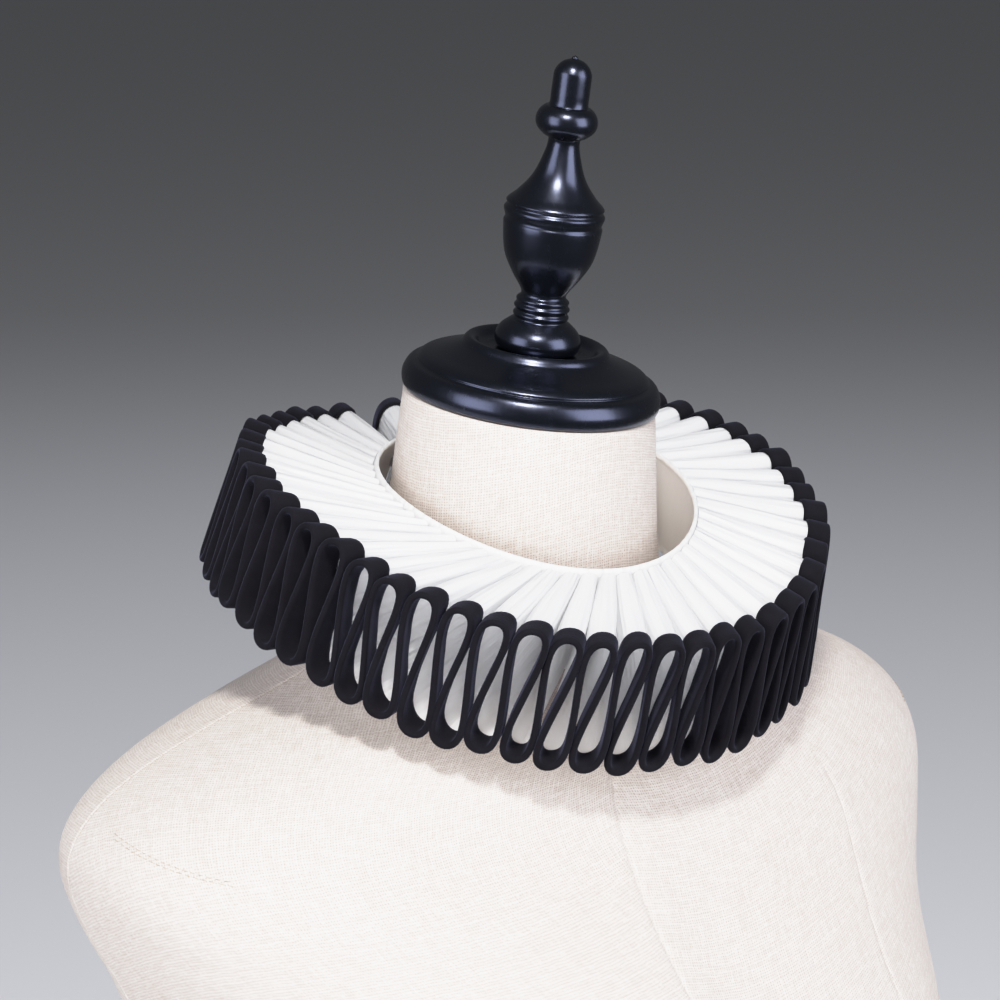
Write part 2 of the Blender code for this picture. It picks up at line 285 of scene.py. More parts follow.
# Turned profiles of the black wood, along the neck's axis, in millimetres.
CAP_PROFILE = (
    # along, radius
    (-1.6, 49.8),
    (-0.6, 50.8),
    (3.0, 51.3),
    (6.0, 50.4),
    (8.2, 48.8),
    (9.2, 46.0),
    (10.2, 45.8),
    (12.0, 43.5),
    (14.2, 37.0),
    (17.4, 30.0),
    (19.6, 28.4),
    (20.6, 27.0),
    (19.8, 24.5),
    (17.8, 22.6),
    (17.0, 20.5),
    (16.8, 19.0),
)
FINIAL_PROFILE = (
    # along, radius
    (17.0, 14.0),
    (18.0, 16.0),
    (21.4, 17.0),
    (25.3, 15.6),
    (28.6, 12.0),
    (29.6, 10.6),
    (31.4, 11.0),
    (32.8, 10.2),
    (34.4, 11.0),
    (35.8, 10.2),
    (37.4, 10.4),
    (39.0, 8.9),
    (41.2, 9.4),
    (47.0, 13.4),
    (55.0, 17.5),
    (67.2, 19.4),
    (68.8, 18.9),
    (72.3, 19.8),
    (74.0, 18.8),
    (75.4, 19.2),
    (79.0, 15.6),
    (85.5, 10.7),
    (93.0, 7.7),
    (100.8, 6.2),
    (102.4, 8.6),
    (105.2, 11.4),
    (108.3, 12.1),
    (111.4, 11.2),
    (113.6, 9.0),
    (114.0, 7.7),
    (119.0, 7.5),
    (126.2, 7.4),
    (127.4, 7.1),
    (129.4, 6.0),
    (131.2, 4.0),
    (132.0, 2.0),
    (132.3, 1.3),
    (132.9, 1.1),
    (133.2, 0.5),
)

# How finely the wood is drawn, and how far each of its pieces stands off the one below.
WOOD_STEPS_AROUND = 128
WOOD_STEPS_ALONG = 5
WOOD_LIFT = 0.35 * MM

# The camera, fitted to the photo.
CAMERA_AZIMUTH = math.radians(-41.0)
CAMERA_ELEVATION = math.radians(13.0)
CAMERA_DISTANCE = 1.3
CAMERA_LENS = 118.2
CAMERA_SHIFT = (-0.0366, -0.0090)

# The studio.
FLOOR_HALF = 14.0
AIR_STRENGTH = 0.10
BRIGHTEST = 2.4
BRIGHTEST_SHOWN = 0.97
ROLL_OFF = (
    # scene brightness, brightness shown
    (0.25, 0.25),
    (0.50, 0.50),
    (0.80, 0.74),
    (1.10, 0.86),
    (1.50, 0.93),
    (1.90, 0.955),
)


def table_value(table, at, column):
    """Read a short table smoothly: a Hermite curve through its rows, flat past its ends."""
    keys = [row[0] for row in table]
    if at <= keys[0]:
        return table[0][column]
    if at >= keys[-1]:
        return table[-1][column]
    row = max(i for i, key in enumerate(keys) if key <= at)
    slopes = []
    for i in (row, row + 1):
        before, after = max(i - 1, 0), min(i + 1, len(table) - 1)
        slopes.append((table[after][column] - table[before][column]) / (keys[after] - keys[before]))
    span = keys[row + 1] - keys[row]
    t = (at - keys[row]) / span
    low, high = table[row][column], table[row + 1][column]
    start = (2 * t ** 3 - 3 * t ** 2 + 1) * low + (t ** 3 - 2 * t ** 2 + t) * span * slopes[0]
    end = (3 * t ** 2 - 2 * t ** 3) * high + (t ** 3 - t ** 2) * span * slopes[1]
    return start + end


def mix(a, b, share):
    return a + (b - a) * share


# Materials


def linear(hex_colour):
    """Turn an sRGB hex colour into Blender's linear RGBA."""
    values = [int(hex_colour[i:i + 2], 16) / 255 for i in (1, 3, 5)]
    return [v / 12.92 if v <= 0.04045 else ((v + 0.055) / 1.055) ** 2.4 for v in values] + [1.0]


def add_node(material, kind, inputs=None, **settings):
    """Add a node. Inputs are plain values, or other nodes' outputs to link."""
    node = material.node_tree.nodes.new(kind)
    for name, value in settings.items():
        setattr(node, name, value)
    for name, value in (inputs or {}).items():
        if isinstance(value, bpy.types.NodeSocket):
            material.node_tree.links.new(value, node.inputs[name])
        else:
            node.inputs[name].default_value = value
    return node


def start_material(name):
    """An empty material, with its output node ready to be linked."""
    material = bpy.data.materials.new(name)
    material.use_nodes = True
    material.node_tree.nodes.clear()
    return material, add_node(material, "ShaderNodeOutputMaterial")


def finish_material(material, output, shader):
    material.node_tree.links.new(shader.outputs[0], output.inputs["Surface"])
    return material


# Inputs of a colour Mix node, which share their names with its other kinds.
MIX_A, MIX_B, MIX_RESULT = 6, 7, 2

# A Wave node has this many bands for each unit at scale 1.
WAVE_BANDS = 10 / math.pi


def colour_mix(material, share, first, second, blend="MIX"):
    """Mix two colours and return the mix's output."""
    node = add_node(
        material,
        "ShaderNodeMix",
        {0: share, MIX_A: first, MIX_B: second},
        data_type="RGBA",
        blend_type=blend,
    )
    return node.outputs[MIX_RESULT]


def plain_weave(material, thread, unevenness):
    """Threads over and under each other, from the cloth's UVs in metres.

    Returns the threads' height, the place counted in threads, and where a thread closes the cloth.
    """
    flat = add_node(material, "ShaderNodeUVMap", uv_map="cloth")
    wander = add_node(material, "ShaderNodeTexNoise", {"Vector": flat.outputs[0], "Scale": 0.3 / thread})
    threads = add_node(
        material,
        "ShaderNodeVectorMath",
        {0: flat.outputs[0], 1: (1 / thread, 1 / thread, 0.0)},
        operation="MULTIPLY",
    )
    moved = add_node(
        material,
        "ShaderNodeVectorMath",
        {0: wander.outputs["Color"], 1: (unevenness, unevenness, 0.0), 2: threads.outputs[0]},
        operation="MULTIPLY_ADD",
    )
    warp = add_node(
        material,
        "ShaderNodeTexWave",
        {"Vector": moved.outputs[0], "Scale": 1 / WAVE_BANDS},
        bands_direction="X",
    )
    weft = add_node(
        material,
        "ShaderNodeTexWave",
        {"Vector": moved.outputs[0], "Scale": 1 / WAVE_BANDS},
        bands_direction="Y",
    )
    over = add_node(
        material,
        "ShaderNodeTexChecker",
        {"Vector": moved.outputs[0], "Scale": 1.0, "Color1": (1, 1, 1, 1), "Color2": (0, 0, 0, 1)},
    )
    height = colour_mix(material, over.outputs["Fac"], warp.outputs["Color"], weft.outputs["Color"])
    closed = colour_mix(material, 1.0, warp.outputs["Color"], weft.outputs["Color"], "SCREEN")
    return height, moved.outputs[0], closed


def white_cotton_sateen():
    """Smooth woven cotton: close fine threads, a satin shine, small creases and light through it."""
    material, output = start_material("white_cotton_sateen")
    # The threads lie 0.15 mm apart and are drawn at 0.5 mm, the finest that shows.
    height, threads, _ = plain_weave(material, 0.5 * MM, 0.6)
    soft = add_node(material, "ShaderNodeTexNoise", {"Vector": threads, "Scale": 0.02, "Detail": 4.0})
    bump = add_node(material, "ShaderNodeBump", {"Height": height, "Strength": 0.12, "Distance": 0.1 * MM})
    # Creases left by the pleating run out from the neckband, some 3 mm apart and 50 mm long.
    drawn_out = add_node(
        material,
        "ShaderNodeVectorMath",
        {0: threads, 1: (0.5 / 3, 0.5 / 50, 1.0)},
        operation="MULTIPLY",
    )
    creases = add_node(
        material, "ShaderNodeTexNoise", {"Vector": drawn_out.outputs[0], "Scale": 1.0, "Detail": 1.5}
    )
    folded = add_node(
        material,
        "ShaderNodeBump",
        {
            "Height": creases.outputs["Fac"],
            "Strength": 1.0,
            "Distance": 2.0 * MM,
            "Normal": bump.outputs[0],
        },
    )
    pucker = add_node(
        material,
        "ShaderNodeBump",
        {
            "Height": soft.outputs["Fac"],
            "Strength": 0.25,
            "Distance": 1.0 * MM,
            "Normal": folded.outputs[0],
        },
    )
    shader = add_node(
        material,
        "ShaderNodeBsdfPrincipled",
        {
            "Base Color": linear("#f7f8fc"),
            "Roughness": 0.34,
            "IOR": 1.5,
            "Sheen Weight": 0.15,
            "Sheen Roughness": 0.35,
            "Normal": pucker.outputs[0],
        },
    )
    through = add_node(material, "ShaderNodeBsdfTranslucent", {"Color": linear("#fcfcfb")})
    both = add_node(
        material, "ShaderNodeMixShader", {0: 0.42, 1: shader.outputs[0], 2: through.outputs[0]}
    )
    return finish_material(material, output, both)


def black_cotton_velvet():
    """Short-pile velvet: black looking into the pile, blue-grey where the pile turns aside."""
    material, output = start_material("black_cotton_velvet")
    flat = add_node(material, "ShaderNodeUVMap", uv_map="cloth")
    # Pile tufts lie 0.3 mm apart and are drawn at 0.6 mm.
    pile = add_node(
        material, "ShaderNodeTexNoise", {"Vector": flat.outputs[0], "Scale": 1 / (0.6 * MM), "Detail": 3.0}
    )
    brushed = add_node(
        material, "ShaderNodeTexNoise", {"Vector": flat.outputs[0], "Scale": 1 / (7 * MM), "Detail": 2.0}
    )
    colour = colour_mix(material, brushed.outputs["Fac"], linear("#070608"), linear("#111016"))
    bump = add_node(
        material, "ShaderNodeBump", {"Height": pile.outputs["Fac"], "Strength": 0.5, "Distance": 0.3 * MM}
    )
    shader = add_node(
        material,
        "ShaderNodeBsdfPrincipled",
        {
            "Base Color": colour,
            "Roughness": 0.9,
            "Specular IOR Level": 0.15,
            "Sheen Weight": 0.20,
            "Sheen Roughness": 0.4,
            "Sheen Tint": linear("#8082a6"),
            "Normal": bump.outputs[0],
        },
    )
    return finish_material(material, output, shader)


def cream_linen():
    """Unbleached plain-weave linen: warm white threads of uneven thickness, quite matt."""
    material, output = start_material("cream_linen")
    # The threads lie 0.8 mm apart and are drawn at 1.1 mm.
    height, threads, closed = plain_weave(material, 1.1 * MM, 0.9)
    # Each thread thickens and thins along some 10 mm of its length.
    slubs = []
    for stretch in ((0.11, 1.0, 1.0), (1.0, 0.11, 1.0)):
        place = add_node(material, "ShaderNodeVectorMath", {0: threads, 1: stretch}, operation="MULTIPLY")
        noise = add_node(
            material, "ShaderNodeTexNoise", {"Vector": place.outputs[0], "Scale": 1.0, "Detail": 1.0}
        )
        slubs.append(noise.outputs["Fac"])
    slub = add_node(material, "ShaderNodeMath", {0: slubs[0], 1: slubs[1]}, operation="ADD")
    uneven = add_node(
        material, "ShaderNodeMapRange", {"Value": slub.outputs[0], "From Min": 0.72, "From Max": 1.28}
    )
    tone = colour_mix(material, uneven.outputs[0], linear("#bfb5ae"), linear("#d6cfca"))
    # Hairy fibres close some of the gaps between the threads. The open gaps are painted with shade, a
    # darker brown, so they show as scattered dark dots.
    fibres = add_node(material, "ShaderNodeTexNoise", {"Vector": threads, "Scale": 1.3, "Detail": 0.0})
    filled = add_node(
        material, "ShaderNodeMapRange", {"Value": fibres.outputs["Fac"], "From Min": 0.46, "From Max": 0.70}
    )
    solid = add_node(material, "ShaderNodeMath", {0: closed, 1: filled.outputs[0]}, operation="MAXIMUM")
    # Painted shade: where no thread or fibre closes the cloth, the gap takes the darker brown.
    between = colour_mix(material, solid.outputs[0], linear("#93887f"), tone)
    # Patches a few centimetres across where the cloth has yellowed.
    patches = add_node(material, "ShaderNodeTexNoise", {"Vector": threads, "Scale": 0.02, "Detail": 2.0})
    worn = colour_mix(material, patches.outputs["Fac"], linear("#fffefe"), linear("#f7f2ee"))
    colour = colour_mix(material, 1.0, between, worn, "MULTIPLY")
    relief = add_node(
        material, "ShaderNodeMath", {0: uneven.outputs[0], 1: 0.8, 2: height}, operation="MULTIPLY_ADD"
    )
    bump = add_node(
        material, "ShaderNodeBump", {"Height": relief.outputs[0], "Strength": 0.10, "Distance": 0.25 * MM}
    )
    shader = add_node(
        material,
        "ShaderNodeBsdfPrincipled",
        {
            "Base Color": colour,
            "Roughness": 0.88,
            "Specular IOR Level": 0.3,
            "Sheen Weight": 0.1,
            "Normal": bump.outputs[0],
        },
    )
    return finish_material(material, output, shader)


def cream_cotton_lawn():
    """Fine unbleached lining cotton: a warm grey-white, quite matt, with a close plain weave."""
    material, output = start_material("cream_cotton_lawn")
    # The threads lie 0.2 mm apart and are drawn at 0.6 mm.
    height, threads, _ = plain_weave(material, 0.6 * MM, 0.7)
    soil = add_node(material, "ShaderNodeTexNoise", {"Vector": threads, "Scale": 0.05, "Detail": 3.0})
    tone = colour_mix(material, soil.outputs["Fac"], linear("#f4f0ec"), linear("#e6dfd8"))
    bump = add_node(material, "ShaderNodeBump", {"Height": height, "Strength": 0.3, "Distance": 0.15 * MM})
    shader = add_node(
        material,
        "ShaderNodeBsdfPrincipled",
        {
            "Base Color": tone,
            "Roughness": 0.8,
            "Specular IOR Level": 0.3,
            "Normal": bump.outputs[0],
        },
    )
    return finish_material(material, output, shader)


def linen_thread():
    """Waxed linen thread, browner than the cover: two plies that show as slanting stripes, the darker ones
    painted shade in the grooves between the plies.
    """
    material, output = start_material("linen_thread")
    place = add_node(material, "ShaderNodeTexCoord")
    # The plies turn once in 0.5 mm.
    plies = add_node(
        material,
        "ShaderNodeTexWave",
        {"Vector": place.outputs["Object"], "Scale": 1 / (WAVE_BANDS * 0.5 * MM)},
        bands_direction="DIAGONAL",
    )
    # Painted shade: the darker stripes stand for the shade in the grooves between the plies.
    tone = colour_mix(material, plies.outputs["Fac"], linear("#8d7f70"), linear("#bfb2a3"))
    shader = add_node(
        material,
        "ShaderNodeBsdfPrincipled",
        {"Base Color": tone, "Roughness": 0.6, "Specular IOR Level": 0.4},
    )
    return finish_material(material, output, shader)


def black_lacquered_wood():
    """Turned wood under black lacquer: deep gloss, with the grain's faint streaks along it."""
    material, output = start_material("black_lacquered_wood")
    place = add_node(material, "ShaderNodeTexCoord")
    stretched = add_node(
        material,
        "ShaderNodeVectorMath",
        {0: place.outputs["Object"], 1: (1.0, 1.0, 0.12)},
        operation="MULTIPLY",
    )
    # Pores lie about 2 mm apart across the grain.
    grain = add_node(
        material,
        "ShaderNodeTexNoise",
        {"Vector": stretched.outputs[0], "Scale": 1 / (2 * MM), "Detail": 3.0},
    )
    rough = add_node(
        material,
        "ShaderNodeMapRange",
        {"Value": grain.outputs["Fac"], "To Min": 0.22, "To Max": 0.30},
    )
    bump = add_node(
        material,
        "ShaderNodeBump",
        {"Height": grain.outputs["Fac"], "Strength": 0.12, "Distance": 0.15 * MM},
    )
    shader = add_node(
        material,
        "ShaderNodeBsdfPrincipled",
        {
            "Base Color": linear("#06070a"),
            "Roughness": rough.outputs[0],
            "Specular IOR Level": 1.0,
            "Specular Tint": linear("#c9d2f8"),
            "Normal": bump.outputs[0],
        },
    )
    return finish_material(material, output, shader)


def nickel_wire():
    """Steel under nickel: a clear grey shine, finely mottled."""
    material, output = start_material("nickel_wire")
    place = add_node(material, "ShaderNodeTexCoord")
    mottle = add_node(
        material,
        "ShaderNodeTexNoise",
        {"Vector": place.outputs["Object"], "Scale": 1 / (0.4 * MM)},
    )
    rough = add_node(
        material, "ShaderNodeMapRange", {"Value": mottle.outputs["Fac"], "To Min": 0.22, "To Max": 0.4}
    )
    shader = add_node(
        material,
        "ShaderNodeBsdfPrincipled",
        {"Base Color": linear("#b9babd"), "Metallic": 1.0, "Roughness": rough.outputs[0]},
    )
    return finish_material(material, output, shader)


# Meshes


def grid_mesh(name, points, flat=None, closed_around=False):
    """Join a grid of points into a mesh of quads, with UVs in metres of cloth where they are given."""
    rows, columns = points.shape[:2]
    index = np.arange(rows * columns).reshape(rows, columns)
    last = columns if closed_around else columns - 1
    right = np.roll(index, -1, axis=1)
    quads = np.stack([index[:-1, :last], right[:-1, :last], right[1:, :last], index[1:, :last]], axis=-1)
    mesh = bpy.data.meshes.new(name)
    mesh.from_pydata(points.reshape(-1, 3).tolist(), [], quads.reshape(-1, 4).tolist())
    if flat is not None:
        layer = mesh.uv_layers.new(name="cloth")
        corners = np.zeros(len(mesh.loops), dtype=np.int32)
        mesh.loops.foreach_get("vertex_index", corners)
        layer.uv.foreach_set("vector", flat.reshape(-1, 2)[corners].astype(np.float32).ravel())
    mesh.shade_smooth()
    return mesh


def show_piece(name, mesh, material, slot, *nodes):
    """Show a mesh as a piece of the object that stands for its CAD nodes."""
    mesh.materials.append(material)
    piece = bpy.data.objects.new(name, mesh)
    bpy.context.scene.collection.objects.link(piece)
    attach(piece, "root")
    if nodes:
        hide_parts(*nodes)
    return piece


def grid_normals(points):
    """Unit normals of a grid of points, from its neighbours both ways."""
    along = np.gradient(points, axis=0)
    across = np.gradient(points, axis=1)
    normal = np.cross(along, across)
    return normal / np.linalg.norm(normal, axis=-1, keepdims=True)


# The ruff


def ruff_point(angle, radius, height):
    """Place a point of the ruff. Angle 0 is the centre front, positive to the wearer's left."""
    side_rise = -SIDE_RISE * math.cos(2 * angle) * radius / OUTER_RADIUS
    x, y = radius * math.sin(angle), -radius * FRONT_TO_BACK * math.cos(angle)
    local = Vector((x, y, height + side_rise))
    return Matrix.Rotation(RUFF_TILT, 4, "X") @ local + RUFF_CENTRE


def stray(turn, size_and_start):
    """How far a size strays at a turn of the strip: two waves that don't repeat together."""
    size, start = size_and_start
    return size * (0.6 * math.sin(2.17 * turn + start) + 0.4 * math.sin(4.93 * turn + 2.3 * start))


def swirl_at(angle):
    """How much further round the ruff a pleat's inner end lies than its outer end."""
    turned = (math.degrees(angle) + 180.0) % 360.0 - 180.0
    return math.radians(table_value(SWIRL, turned, 1))


def pleat_angle(turn):
    """Where round the ruff a turn of the strip stands."""
    return RUFF_START + (turn + 0.5) * PLEAT_STEP


def pleat_edge(turn, radius, outer):
    """A point on the folded strip's inner edge, outer 0, or its outer edge, outer 1."""
    here = pleat_angle(turn)
    degrees = math.degrees(here)
    up = math.cos(2 * math.pi * turn)
    flatness = table_value(TOP_FLATNESS, degrees, 1)
    up = mix(up, math.sin(math.pi / 2 * up), mix(flatness, LOOP_ROUND, outer))
    drop = (1 - up) / 2
    lean = table_value(LOOP_LEAN, degrees, 1)
    shift = table_value(EDGE_SET, degrees, 1)
    lift = table_value(EDGE_SET, degrees, 2) * MM
    swell = mix(INNER_SWELL, LOOP_SWELL, outer)
    along = turn + swell * math.sin(4 * math.pi * turn) + (lean - 0.5) * drop + shift * (1 - drop)
    along += stray(turn, STRAY_ALONG) * outer
    flare = mix(INNER_BOTTOM_FLARE, BOTTOM_FLARE + SIDE_FLARE * math.sin(here) ** 2, outer)
    from_start = here - RUFF_START
    from_opening = min(from_start, PLEATS * PLEAT_STEP - from_start)
    sag = END_SAG * math.exp(-(from_opening / END_SAG_SPREAD) ** 2)
    tall = mix(INNER_HEIGHT, OUTER_HEIGHT + stray(turn, STRAY_TALL), outer)
    top = mix(INNER_TOP_RISE, lift + stray(turn, STRAY_TOP) - sag, outer)
    tip = table_value(TOP_TIP, degrees, 1) * MM * math.sin(2 * math.pi * turn) * (1 - drop)
    top += tip * mix(1.0, TIP_AT_VELVET, outer)
    out = radius + flare * drop + stray(turn, STRAY_OUT) * outer
    swirl = (1 - outer) * swirl_at(here)
    return ruff_point(pleat_angle(along) + swirl, out, top - tall * drop)


def round_ruff(angle):
    """The way round the ruff at an angle."""
    ahead = ruff_point(angle + 0.01, OUTER_RADIUS, 0.0)
    return (ahead - ruff_point(angle, OUTER_RADIUS, 0.0)).normalized()


def wall_sway(turn):
    """How far a wall of a loop swings back round the ruff, nothing at the loop's top and bottom."""
    here = pleat_angle(turn)
    amount = table_value(WALL_SWAY, math.degrees(here), 1) * MM
    return -amount * math.sin(2 * math.pi * turn) ** 2 * round_ruff(here)


def top_spread(turn):
    """How far a pleat's top spreads to both sides between the neckband and the velvet."""
    here = pleat_angle(turn)
    high = max(math.cos(2 * math.pi * turn), 0.0)
    return TOP_SPREAD * math.sin(4 * math.pi * turn) * high ** 0.5 * round_ruff(here)


class FoldedStrip:
    """The folded strip: its two edges, the sway of its walls and its length along the outer edge."""

    def __init__(self):
        self.turns = np.linspace(-0.5, PLEATS - 0.5, PLEATS * POINTS_PER_PLEAT + 1)
        self.inner = np.array([pleat_edge(turn, INNER_RADIUS, 0.0) for turn in self.turns])
        self.outer = np.array([pleat_edge(turn, OUTER_RADIUS, 1.0) for turn in self.turns])
        self.sway = np.array([wall_sway(turn) for turn in self.turns])
        self.spread = np.array([top_spread(turn) for turn in self.turns])
        steps = np.linalg.norm(np.diff(self.outer, axis=0), axis=1)
        self.lengths = np.concatenate([[0.0], np.cumsum(steps)])

    def points(self, across):
        """The strip's points from its inner edge, 0, to its outer edge, 1."""
        a = np.asarray(across, dtype=float)[None, :, None]
        straight = self.inner[:, None, :] * (1 - a) + self.outer[:, None, :] * a
        sway = self.sway[:, None, :] * a ** 2 * (1 - a)
        return straight + sway + self.spread[:, None, :] * np.sin(math.pi * a)


def gather_creases(turns, across):
    """How far small creases stand off the strip.

    Fine ones, three to a pleat, fade towards the velvet. Long ones, three to two pleats, are
    deepest half way out.
    """
    fine_depth, long_depth = 0.42 * MM, 0.30 * MM
    t = turns[:, None]
    out = across[None, :]
    wander = 0.9 * np.sin(5.3 * t + 2.0 * out)
    fine = np.sin(2 * math.pi * 3.0 * t + wander) * np.sin(1.7 * t + 0.6) ** 2
    long = np.sin(2 * math.pi * 1.5 * t + 1.3 * np.sin(0.8 * t))
    return fine_depth * fine * (1 - out) ** 1.6 + long_depth * long * np.sin(math.pi * out)


def make_ruffle(material, strip):
    """The white strip, from the neckband's stitches out into the velvet."""
    width = OUTER_RADIUS - INNER_RADIUS
    across = np.linspace(0.0, 1 - 0.5 * VELVET_WIDTH / width, CLOTH_STEPS + 1)
    points = strip.points(across)
    points += grid_normals(points) * gather_creases(strip.turns, across)[:, :, None]
    flat = np.stack(np.broadcast_arrays(strip.lengths[:, None], across[None, :] * width), axis=-1)
    mesh = grid_mesh("ruffle_strip", points, flat)
    cloth = show_piece("ruffle_strip", mesh, material, "white_cotton", "ruffle_cloth")
    return cloth


def make_velvet(material, strip):
    """The velvet binding, folded round the strip's outer edge."""
    width = OUTER_RADIUS - INNER_RADIUS
    half = VELVET_THICK / 2
    # The section of the binding, as distance in from its outer edge and distance off the cloth.
    section = [
        (VELVET_WIDTH, 0.25 * half),
        (VELVET_WIDTH - 0.5 * MM, 0.8 * half),
        (VELVET_WIDTH - 1.6 * MM, half),
        (0.66 * VELVET_WIDTH, half),
        (0.50 * VELVET_WIDTH, half),
        (0.34 * VELVET_WIDTH, half),
    ]
    bend = [math.radians(90 - 180 * i / VELVET_BEND_STEPS) for i in range(VELVET_BEND_STEPS + 1)]
    round_edge = [(half * (1 - math.cos(b)), half * math.sin(b)) for b in bend]
    around = section + round_edge + [(depth, -off) for depth, off in reversed(section)]
    depths = np.array([depth for depth, off in around])
    offs = np.array([off for depth, off in around])
    middle = strip.points(1 - depths / width)
    # The normals come from even steps in from the edge, because the section's own steps double back.
    even = grid_normals(strip.points([1 - VELVET_WIDTH / width, 1.0]))[:, 1]
    # The stitched inner edge wavers a little and draws the velvet in at each stitch.
    waver = 0.22 * MM * np.sin(strip.lengths / (2.1 * MM))
    waver += 0.25 * MM * np.sin(strip.lengths / (7.7 * MM))
    inward = strip.inner - strip.outer
    inward = inward / np.linalg.norm(inward, axis=1, keepdims=True)
    share = np.clip((depths - 0.6 * VELVET_WIDTH) / (0.4 * VELVET_WIDTH), 0.0, 1.0)
    points = middle + even[:, None, :] * offs[None, :, None]
    points += inward[:, None, :] * waver[:, None, None] * share[None, :, None]
    walked = np.concatenate([[0.0], np.cumsum(np.hypot(np.diff(depths), np.diff(offs)))])
    flat = np.stack(np.broadcast_arrays(strip.lengths[:, None], walked[None, :]), axis=-1)
    mesh = grid_mesh("velvet_binding", points, flat)
    binding = show_piece("velvet_binding", mesh, material, "black_velvet", "velvet_edge")
    return binding


def band_opening_angle():
    """Where the middle of the neckband's opening stands, a swirl further round than the pleats'."""
    return RUFF_TURN - math.pi + swirl_at(-math.pi)


def band_point(angle, up, depth):
    """A point of the neckband. Up runs from its foot, 0, to its top edge, 1, and depth is inward."""
    clear = PLEAT_END_GAP + BAND_THICK / 2
    radius = INNER_RADIUS - clear + INNER_BOTTOM_FLARE * (1 - up) - depth
    return ruff_point(angle, radius, mix(INNER_TOP_RISE - INNER_HEIGHT, INNER_TOP_RISE + BAND_PROUD, up))


def make_neckband(material, lining):
    """The standing band: white outside and over its rolled top, cream inside, hemmed at both ends."""
    start = band_opening_angle() + BAND_OPENING / 2
    sweep = 2 * math.pi - BAND_OPENING
    half = BAND_THICK / 2
    # The section, as share up the band and distance inward from the middle of its wall.
    outside = [(0.0, -1.0), (0.3, -1.0), (0.7, -1.0), (0.93, -1.0), (0.955, -1.35), (0.985, -1.2)]
    rolled_top = [(1.0, 0.0), (0.985, 1.2), (0.955, 1.5), (0.93, 1.1), (0.90, 0.8)]
    inside_wall = [(0.6, 1.0), (0.3, 1.0), (0.09, 1.0), (0.06, 0.7), (0.03, 1.2), (0.0, 1.0)]
    section = [(up, depth * half) for up, depth in outside + rolled_top + inside_wall]
    lined_from = len(outside) + 1
    hem = BAND_HEM / INNER_RADIUS
    ends = [0.0, 0.25 * hem, 0.8 * hem, hem]
    inside = [hem + (sweep - 2 * hem) * i / BAND_COLUMNS for i in range(1, BAND_COLUMNS)]
    along = np.array(ends + inside + [sweep - a for a in reversed(ends)])
    points = []
    for a in along:
        from_end = min(a, sweep - a)
        thick = 1.35 if from_end < 0.9 * hem else 1.0
        pucker = 1 + 0.10 * math.sin(a * INNER_RADIUS / (0.9 * MM)) * (from_end > hem)
        points.append([band_point(start + a, up, depth * thick * pucker) for up, depth in section])
    points = np.array(points)
    walked = np.linspace(0.0, BAND_FLAT_WIDTH, len(section))
    flat = np.stack(np.broadcast_arrays((along * INNER_RADIUS)[:, None], walked[None, :]), axis=-1)
    mesh = grid_mesh("standing_band", points, flat)
    band = show_piece("standing_band", mesh, material, "white_cotton", "neckband")
    mesh.materials.append(lining)
    columns = len(section) - 1
    for face in mesh.polygons:
        face.material_index = int(face.index % columns >= lined_from)
    return band


# The form


def form_point(height, turn):
    """A point on the form's skin. Turn 0 is the centre front."""
    at = height / MM
    half_width, front, back, squareness = (table_value(FORM_SECTIONS, at, i) for i in range(1, 5))
    middle = (front + back) / 2 * MM
    depth = (back - front) / 2 * MM
    side, ahead = math.sin(turn), math.cos(turn)
    x = half_width * MM * math.copysign(abs(side) ** (2 / squareness), side)
    y = middle - depth * math.copysign(abs(ahead) ** (2 / squareness), ahead)
    up = math.exp(-((height - BUST_HEIGHT) / BUST_SPREAD_UP) ** 2)
    inside = max(1 - abs(x) / BUST_SIDE, 0.0)
    outside = max(abs(x) - BUST_SIDE, 0.0) / BUST_SPREAD_SIDE
    beside = math.exp(-outside ** 2) - BUST_HOLLOW * inside ** 2
    y -= BUST_RISE * up * beside * max(ahead, 0.0)
    return Vector((x, y, height))


def neck_axis():
    """The neck's own frame: its Z runs up the leaning neck, with its origin at the neck's top."""
    lean = Matrix.Rotation(NECK_LEAN_SIDE, 4, "Y") @ Matrix.Rotation(NECK_LEAN_FORWARD, 4, "X")
    return Matrix.Translation(NECK_TOP) @ lean


def form_columns():
    """Where the columns of the form's cover stand, in degrees: even steps, and closer at the seams."""
    turns = set(np.linspace(-180.0, 180.0, FORM_STEPS_AROUND + 1))
    for seam, _, _ in SEAMS:
        turns = {turn for turn in turns if abs(turn - seam) > SEAM_CLEAR}
        turns |= {seam + off for off in SEAM_COLUMNS}
    return np.array(sorted(turn for turn in turns if -180.0 <= turn <= 180.0))


def seam_depth(turn, height, radius):
    """How far the cover dips into a seam, with the seam's turned-in cloth lifting it on both sides."""
    dip = 0.0
    for seam, low, high in SEAMS:
        off = math.radians(abs(turn - seam)) * radius / MM
        strength = min(max((high - height) / SEAM_FADE, 0.0), 1.0)
        strength *= min(max((height - low) / SEAM_FADE, 0.0), 1.0)
        pull = 1 + 0.25 * math.sin(height / 1.1)
        sunk = SEAM_DIP * pull * math.exp(-(off / SEAM_DIP_SPREAD) ** 2)
        raised = SEAM_RIDGE * math.exp(-((off - SEAM_RIDGE_AT) / SEAM_RIDGE_SPREAD) ** 2)
        dip += strength * (sunk - raised)
    return dip * MM


def flat_cover(points, columns):
    """The cover laid flat, in metres: the way round and the way up along its own surface."""
    steps_along = np.linalg.norm(np.diff(points, axis=1), axis=2)
    steps_up = np.linalg.norm(np.diff(points, axis=0), axis=2)
    along = np.concatenate([np.zeros((len(points), 1)), np.cumsum(steps_along, axis=1)], axis=1)
    up = np.concatenate([np.zeros((1, len(columns))), np.cumsum(steps_up, axis=0)], axis=0)
    return np.stack([along, up], axis=-1)


def corner_columns(count):
    """The column of each corner of the faces between two rows, as grid_mesh orders them."""
    first = np.arange(count - 1)
    return np.stack([first, first + 1, first + 1, first], axis=-1)


